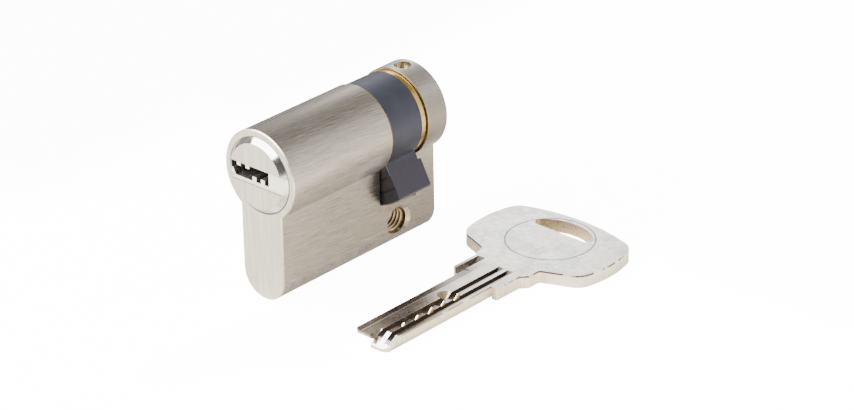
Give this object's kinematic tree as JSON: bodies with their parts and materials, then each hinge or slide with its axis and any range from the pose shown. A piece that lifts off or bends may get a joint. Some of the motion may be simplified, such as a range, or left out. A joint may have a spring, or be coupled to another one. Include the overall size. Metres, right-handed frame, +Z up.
{
  "type": "half euro cylinder",
  "caption": "Half euro profile lock cylinder with a key-turned plug, a free-turning cam with an offset lever, sprung pin stacks and a flat dimple key lying beside it.",
  "frame": {"origin": "middle of the fixing-screw hole, on its axis and midway through the flange", "axes": "+X along the fixing screw, +Y along the plug axis from the key face to the closed end, +Z up from the flange's foot to the barrel"},
  "size_m": [0.0502, 0.0575, 0.033],
  "materials": {
    "nickel_housing": "satin nickel plate, bare where machined",
    "nickel_plug": "brushed nickel plate",
    "nickel_key": "polished nickel plate, bare in the cuts",
    "sintered_cam": "matt sintered steel",
    "bare_brass": "turned, bare",
    "steel": "bright",
    "spring_steel": "bright wire"
  },
  "bodies": {
    "body": {"housing": "nickel_housing", "chamber_plugs": "bare_brass", "retaining_pin": "bare_brass", "spring_1": "spring_steel", "spring_2": "spring_steel", "spring_3": "spring_steel", "spring_4": "spring_steel", "spring_5": "spring_steel"},
    "plug": {"plug": "nickel_plug", "retaining_clip": "spring_steel"},
    "cam": {"cam": "sintered_cam", "coupling": "steel", "rear_bearing": "bare_brass"},
    "key_pin_1": {"key_pin_1": "bare_brass"},
    "key_pin_2": {"key_pin_2": "bare_brass"},
    "key_pin_3": {"key_pin_3": "bare_brass"},
    "key_pin_4": {"key_pin_4": "bare_brass"},
    "key_pin_5": {"key_pin_5": "bare_brass"},
    "driver_pin_1": {"driver_pin_1": "steel"},
    "driver_pin_2": {"driver_pin_2": "steel"},
    "driver_pin_3": {"driver_pin_3": "steel"},
    "driver_pin_4": {"driver_pin_4": "steel"},
    "driver_pin_5": {"driver_pin_5": "steel"},
    "key": {"key": "nickel_key"}
  },
  "joints": [
    {"name": "plug_turn", "type": "hinge", "parent": "body", "child": "plug", "pos_m": [0, 0, 0.0189], "axis": [0, 1, 0], "continuous": true},
    {"name": "cam_turn", "type": "hinge", "parent": "body", "child": "cam", "pos_m": [0, 0, 0.0189], "axis": [0, 1, 0], "continuous": true},
    {"name": "key_pin_slide_1", "type": "slide", "parent": "plug", "child": "key_pin_1", "axis": [0, 0, 1], "range_m": [0, 0.00088]},
    {"name": "key_pin_slide_2", "type": "slide", "parent": "plug", "child": "key_pin_2", "axis": [0, 0, 1], "range_m": [0, 0.00078]},
    {"name": "key_pin_slide_3", "type": "slide", "parent": "plug", "child": "key_pin_3", "axis": [0, 0, 1], "range_m": [0, 0.00053]},
    {"name": "key_pin_slide_4", "type": "slide", "parent": "plug", "child": "key_pin_4", "axis": [0, 0, 1], "range_m": [0, 0.00068]},
    {"name": "key_pin_slide_5", "type": "slide", "parent": "plug", "child": "key_pin_5", "axis": [0, 0, 1], "range_m": [0, 0.00043]},
    {"name": "driver_pin_slide_1", "type": "slide", "parent": "body", "child": "driver_pin_1", "axis": [0, 0, 1], "range_m": [-0.0005, 0], "stiffness_N_per_m": 100, "springref_m": 0.004, "deforming": ["spring_1"]},
    {"name": "driver_pin_slide_2", "type": "slide", "parent": "body", "child": "driver_pin_2", "axis": [0, 0, 1], "range_m": [-0.0006, 0], "stiffness_N_per_m": 100, "springref_m": 0.004, "deforming": ["spring_2"]},
    {"name": "driver_pin_slide_3", "type": "slide", "parent": "body", "child": "driver_pin_3", "axis": [0, 0, 1], "range_m": [-0.00085, 0], "stiffness_N_per_m": 100, "springref_m": 0.004, "deforming": ["spring_3"]},
    {"name": "driver_pin_slide_4", "type": "slide", "parent": "body", "child": "driver_pin_4", "axis": [0, 0, 1], "range_m": [-0.0007, 0], "stiffness_N_per_m": 100, "springref_m": 0.004, "deforming": ["spring_4"]},
    {"name": "driver_pin_slide_5", "type": "slide", "parent": "body", "child": "driver_pin_5", "axis": [0, 0, 1], "range_m": [-0.00095, 0], "stiffness_N_per_m": 100, "springref_m": 0.004, "deforming": ["spring_5"]},
    {"name": "key_lift", "type": "slide", "parent": "body", "child": "key", "axis": [0, 0, 1], "range_m": [0, 0.05]}
  ],
  "couplings": [
    {"joint": "cam_turn", "follows": "plug_turn", "ratio": 1}
  ]
}
